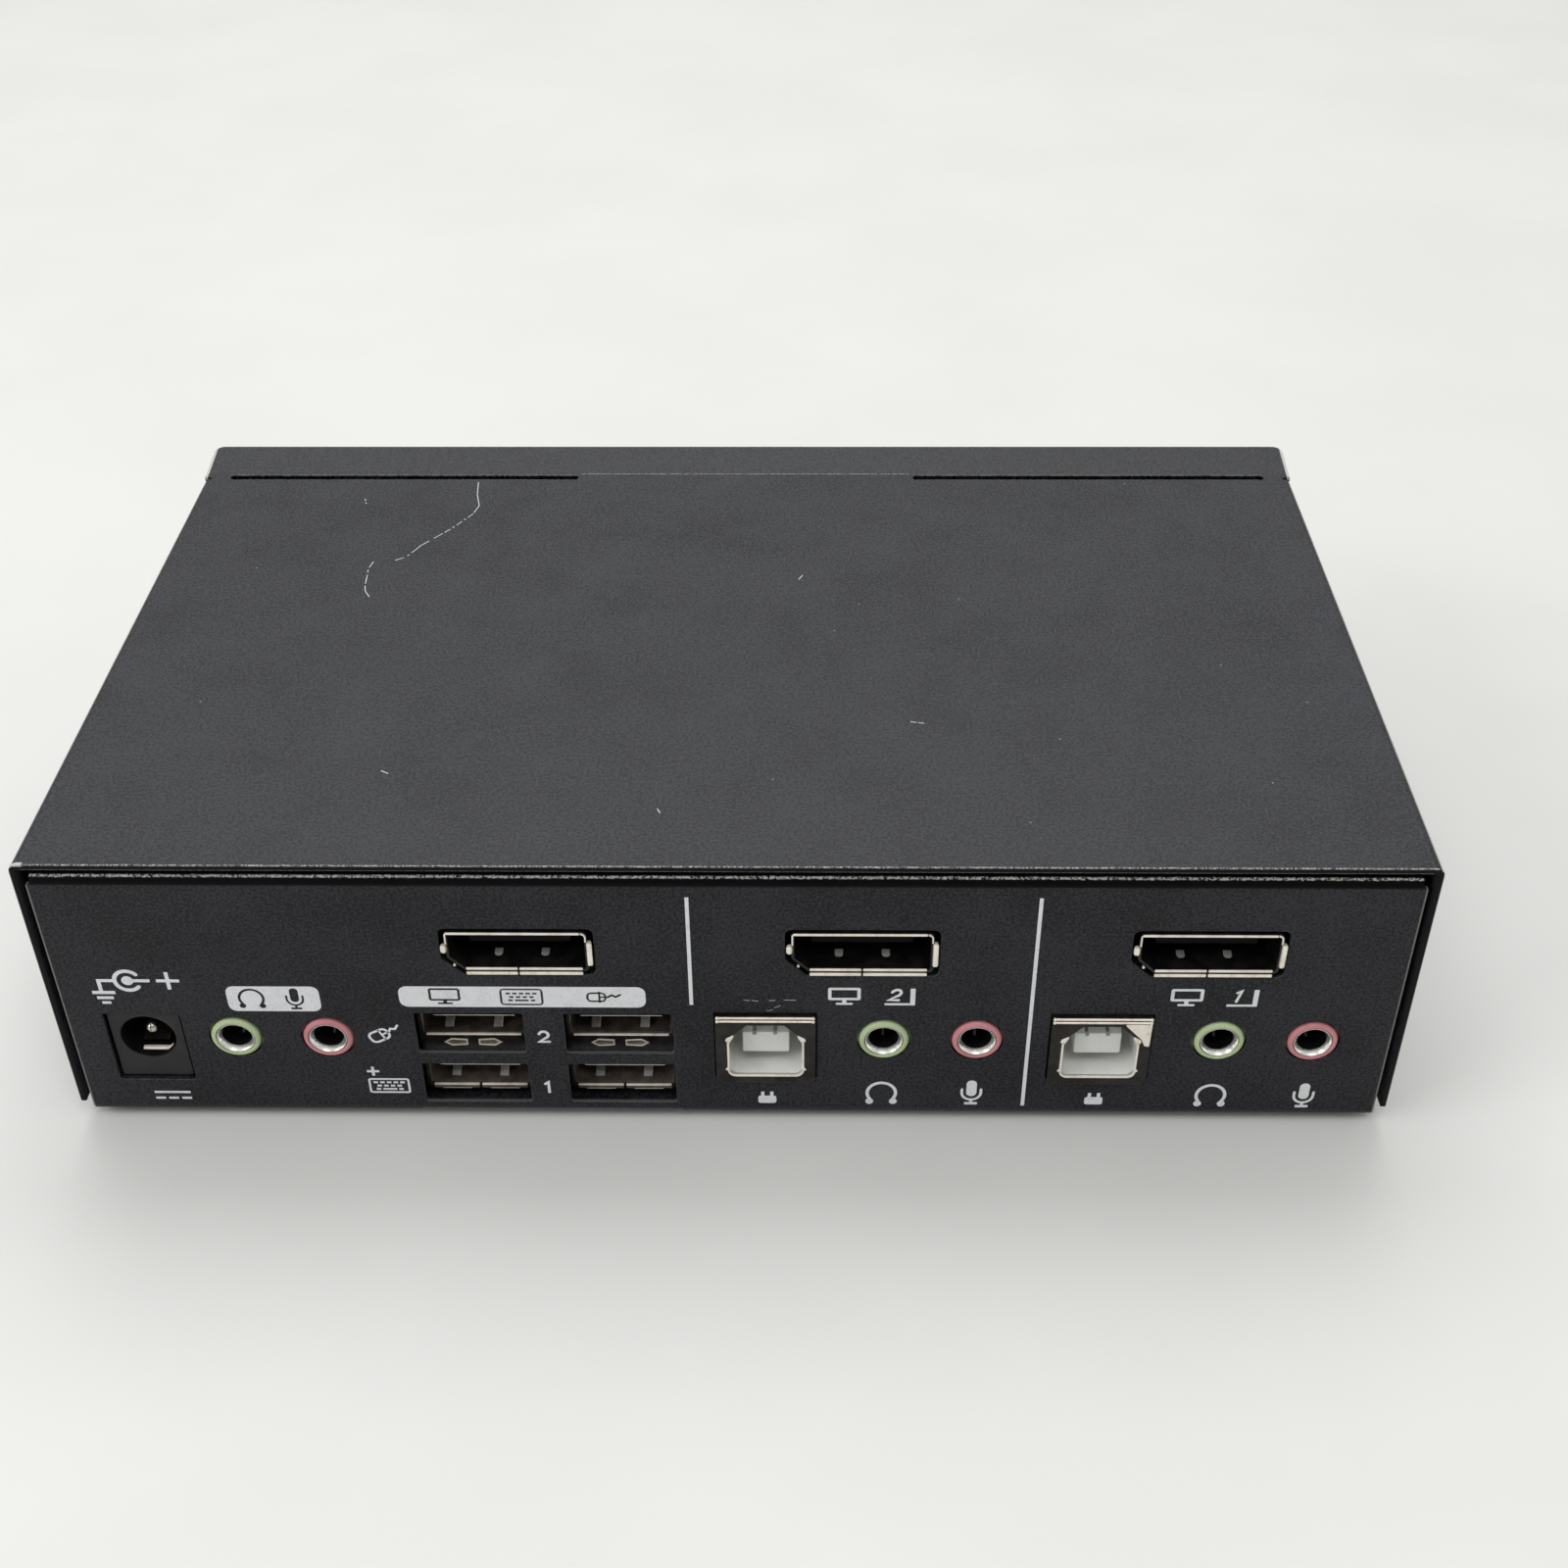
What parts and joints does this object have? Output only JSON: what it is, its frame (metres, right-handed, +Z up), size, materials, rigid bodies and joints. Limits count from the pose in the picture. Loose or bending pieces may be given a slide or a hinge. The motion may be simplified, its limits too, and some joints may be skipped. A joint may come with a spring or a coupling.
{
  "type": "kvm switch",
  "caption": "Black folded-steel KVM switch box: a rear panel of video, data, host and audio sockets with a power jack, and sprung select buttons under a slotted front visor.",
  "frame": {"origin": "on the floor under the middle of the box, at the undersides of the feet", "axes": "+X runs along the socket panel, left to right as seen from the sockets; +Y runs from the socket panel to the buttons; +Z is up"},
  "size_m": [0.162, 0.098, 0.0415],
  "materials": {
    "black_steel": "fine textured powder coat",
    "rubber": "matte",
    "board_green": "solder mask",
    "brass": "turned",
    "bright_steel": "nickel plated",
    "black_plastic": "moulded",
    "white_plastic": "moulded",
    "green_plastic": "moulded",
    "pink_plastic": "moulded",
    "clear_pipe": "clear moulded"
  },
  "bodies": {
    "case": {"base_tray": "black_steel", "top_cover": "black_steel", "cover_screw_rear_left": "black_steel", "cover_screw_rear_right": "black_steel", "cover_screw_front_left": "black_steel", "cover_screw_front_right": "black_steel", "foot_rear_left": "rubber", "foot_rear_right": "rubber", "foot_front_left": "rubber", "foot_front_right": "rubber", "main_board": "board_green", "video_board": "board_green", "board_link": "black_plastic", "board_post_rear_left": "brass", "board_post_rear_right": "brass", "board_post_front_left": "brass", "board_post_front_right": "brass", "board_screw_rear_left": "bright_steel", "board_screw_rear_right": "bright_steel", "board_screw_front_left": "bright_steel", "board_screw_front_right": "bright_steel", "power_jack_body": "black_plastic", "power_jack_pin": "bright_steel", "power_jack_leaf": "bright_steel", "audio_housing_console_phones": "green_plastic", "audio_housing_console_mic": "pink_plastic", "audio_housing_port_2_phones": "green_plastic", "audio_housing_port_2_mic": "pink_plastic", "audio_housing_port_1_phones": "green_plastic", "audio_housing_port_1_mic": "pink_plastic", "audio_sleeve_console_phones": "bright_steel", "audio_sleeve_console_mic": "bright_steel", "audio_sleeve_port_2_phones": "bright_steel", "audio_sleeve_port_2_mic": "bright_steel", "audio_sleeve_port_1_phones": "bright_steel", "audio_sleeve_port_1_mic": "bright_steel", "host_shell_port_2": "bright_steel", "host_shell_port_1": "bright_steel", "host_insulator_port_2": "white_plastic", "host_insulator_port_1": "white_plastic", "data_shell_left": "bright_steel", "data_shell_right": "bright_steel", "data_insulator_left": "black_plastic", "data_insulator_right": "black_plastic", "video_shell_console": "bright_steel", "video_shell_port_2": "bright_steel", "video_shell_port_1": "bright_steel", "video_insulator_console": "black_plastic", "video_insulator_port_2": "black_plastic", "video_insulator_port_1": "black_plastic", "switch_body_1": "black_plastic", "switch_body_2": "black_plastic", "button_spring_1": "bright_steel", "button_spring_2": "bright_steel", "indicator_1": "clear_pipe", "indicator_2": "clear_pipe"},
    "button_1": {"button_cap_1": "black_plastic", "button_plunger_1": "white_plastic"},
    "button_2": {"button_cap_2": "black_plastic", "button_plunger_2": "white_plastic"}
  },
  "joints": [
    {"name": "button_1_press", "type": "slide", "parent": "case", "child": "button_1", "axis": [0, -1, 0], "range_m": [0, 0.0015], "stiffness_N_per_m": 400, "springref_m": -0.001, "deforming": ["button_spring_1"]},
    {"name": "button_2_press", "type": "slide", "parent": "case", "child": "button_2", "axis": [0, -1, 0], "range_m": [0, 0.0015], "stiffness_N_per_m": 400, "springref_m": -0.001, "deforming": ["button_spring_2"]}
  ]
}
